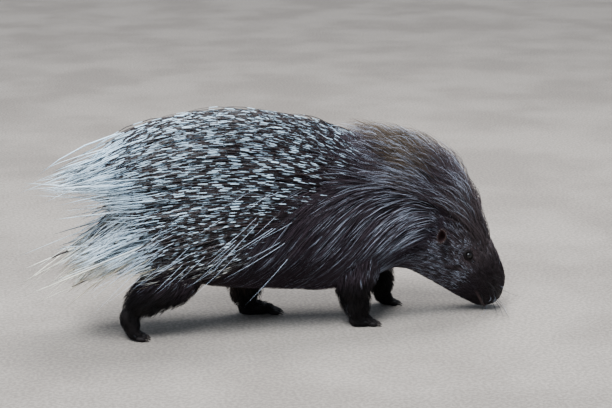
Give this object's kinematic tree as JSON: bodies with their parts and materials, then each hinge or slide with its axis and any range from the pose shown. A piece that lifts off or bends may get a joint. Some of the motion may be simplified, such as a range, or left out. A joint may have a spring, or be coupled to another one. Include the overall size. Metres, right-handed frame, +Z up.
{
  "type": "crested porcupine",
  "caption": "Life-size crested porcupine walking with its head lowered to the ground, with banded back quills, long rear quills and a bristly crest.",
  "frame": {"origin": "on the ground, under the middle of the model's footprint box", "axes": "+Z up, +X the way the animal walks, +Y to its left"},
  "size_m": [0.9188, 0.2922, 0.4162],
  "materials": {
    "bristles": "matt dark brown bristles",
    "eye": "wet black",
    "head_fur": "short dark fur with grey frosting",
    "leg_fur": "short black fur",
    "quills": "stiff quills banded in white and black",
    "skin": "bare dark skin"
  },
  "bodies": {
    "root": {"ear_left": "skin", "ear_right": "skin", "eye_left": "eye", "eye_right": "eye", "foot_fore_left": "leg_fur", "foot_fore_right": "leg_fur", "foot_hind_left": "leg_fur", "foot_hind_right": "leg_fur", "head": "head_fur", "leg_fore_left": "leg_fur", "leg_fore_right": "leg_fur", "leg_hind_left": "leg_fur", "leg_hind_right": "leg_fur", "neck": "bristles", "tail": "quills", "torso": "quills"}
  },
  "joints": []
}
